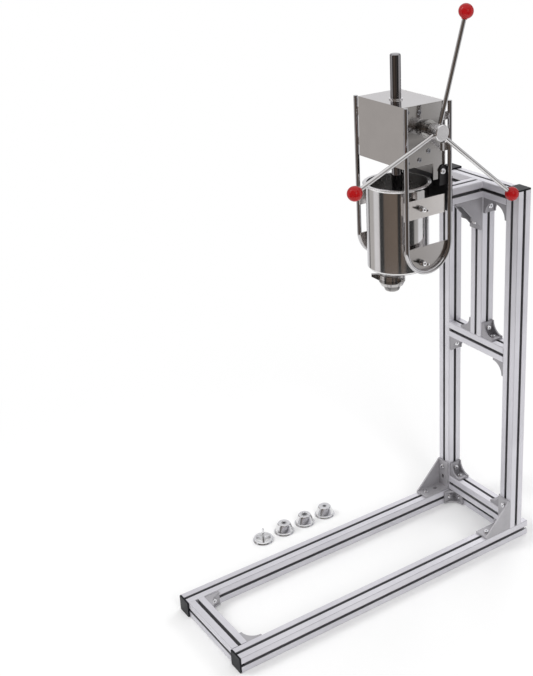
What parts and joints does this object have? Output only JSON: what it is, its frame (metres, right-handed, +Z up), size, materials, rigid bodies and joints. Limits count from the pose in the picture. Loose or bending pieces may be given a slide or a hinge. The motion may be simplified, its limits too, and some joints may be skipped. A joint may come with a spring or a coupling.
{
  "type": "churro maker",
  "caption": "Hand-cranked churro press on a slotted aluminium profile stand: rack rod and plunger over a steel barrel, three-spoke crank, wing-bolt clamps and loose star nozzles.",
  "frame": {"origin": "centre of the stand's footprint on the floor, in the stand's plane of symmetry", "axes": "+X across the stand towards the crank, +Y from the open end of the base to the posts, +Z up"},
  "size_m": [0.444, 0.854, 1.3683],
  "materials": {
    "profile_aluminium": "natural anodised",
    "cap_plastic": "matt black",
    "cast_bracket": "blasted",
    "zinc_steel": "zinc plated",
    "black_plate": "satin black",
    "rod_steel": "polished",
    "sheet_steel": "polished stainless",
    "housing_steel": "mirror-polished stainless",
    "machined_steel": "turned",
    "screw_steel": "stainless",
    "bronze": "turned",
    "barrel_steel": "polished stainless",
    "wing_steel": "stainless",
    "nozzle_steel": "polished stainless",
    "ball_plastic": "glossy red",
    "plunger_plastic": "natural white",
    "seal_rubber": "white silicone"
  },
  "bodies": {
    "stand": {"base_rail_left": "profile_aluminium", "base_rail_right": "profile_aluminium", "base_cross_front": "profile_aluminium", "base_cross_rear": "profile_aluminium", "post_left": "profile_aluminium", "post_right": "profile_aluminium", "post_cross_lower": "profile_aluminium", "post_cross_middle": "profile_aluminium", "post_cross_top": "profile_aluminium", "centre_upright": "profile_aluminium", "support_arm": "profile_aluminium", "end_caps": "cap_plastic", "base_corner_brackets": "cast_bracket", "post_corner_brackets": "cast_bracket", "foot_gussets": "cast_bracket", "arm_gusset": "cast_bracket", "arm_front_bracket": "cast_bracket", "bracket_screws": "zinc_steel", "slot_nuts": "zinc_steel", "mount_plate": "black_plate", "mount_screws": "zinc_steel", "side_frame_left": "rod_steel", "side_frame_right": "rod_steel", "frame_spacers": "sheet_steel", "side_plates": "sheet_steel", "gearbox_cover": "housing_steel", "gearbox_side_left": "housing_steel", "gearbox_side_right": "housing_steel", "gearbox_rear_panel": "housing_steel", "gearbox_floor": "housing_steel", "guide_bars": "machined_steel", "rod_bush": "machined_steel", "housing_screws": "screw_steel", "bearing_housings": "machined_steel", "shaft_bushes": "bronze", "barrel": "barrel_steel", "nozzle_gasket": "seal_rubber", "star_nozzle_fitted": "nozzle_steel", "star_nozzle_fine": "nozzle_steel", "star_nozzle_large": "nozzle_steel", "star_nozzle_small": "nozzle_steel", "hollow_nozzle_core": "nozzle_steel"},
    "crank": {"crank_shaft": "rod_steel", "pinion": "machined_steel", "shaft_pins": "machined_steel", "shaft_sleeves": "machined_steel", "crank_hub": "machined_steel", "crank_spokes": "rod_steel", "ball_knobs": "ball_plastic"},
    "plunger": {"rack_rod": "rod_steel", "plunger_disc": "plunger_plastic", "plunger_seal": "seal_rubber", "plunger_nut": "machined_steel"},
    "nozzle_nut": {"nozzle_nut": "wing_steel"},
    "wing_bolt_upper_left": {"wing_bolt_upper_left": "wing_steel"},
    "wing_bolt_lower_left": {"wing_bolt_lower_left": "wing_steel"},
    "wing_bolt_upper_right": {"wing_bolt_upper_right": "wing_steel"},
    "wing_bolt_lower_right": {"wing_bolt_lower_right": "wing_steel"}
  },
  "joints": [
    {"name": "crank_turn", "type": "hinge", "parent": "stand", "child": "crank", "pos_m": [0, 0.1512, 1.1034], "axis": [1, 0, 0], "range_deg": [-425, 365]},
    {"name": "plunger_slide", "type": "slide", "parent": "stand", "child": "plunger", "axis": [0, 0, -1], "range_m": [-0.104, 0.0895]},
    {"name": "nozzle_nut_turn", "type": "hinge", "parent": "stand", "child": "nozzle_nut", "pos_m": [0, 0.109, 0.748], "axis": [0, 0, -1], "range_deg": [0, 540]},
    {"name": "wing_bolt_upper_left_turn", "type": "hinge", "parent": "stand", "child": "wing_bolt_upper_left", "pos_m": [-0.084, 0.128, 0.9305], "axis": [-1, 0, 0], "range_deg": [0, 720]},
    {"name": "wing_bolt_lower_left_turn", "type": "hinge", "parent": "stand", "child": "wing_bolt_lower_left", "pos_m": [-0.084, 0.128, 0.8055], "axis": [-1, 0, 0], "range_deg": [0, 720]},
    {"name": "wing_bolt_upper_right_turn", "type": "hinge", "parent": "stand", "child": "wing_bolt_upper_right", "pos_m": [0.084, 0.128, 0.9305], "axis": [1, 0, 0], "range_deg": [0, 720]},
    {"name": "wing_bolt_lower_right_turn", "type": "hinge", "parent": "stand", "child": "wing_bolt_lower_right", "pos_m": [0.084, 0.128, 0.8055], "axis": [1, 0, 0], "range_deg": [0, 720]}
  ],
  "couplings": [
    {"joint": "plunger_slide", "follows": "crank_turn", "m_per_rad": 0.014}
  ]
}
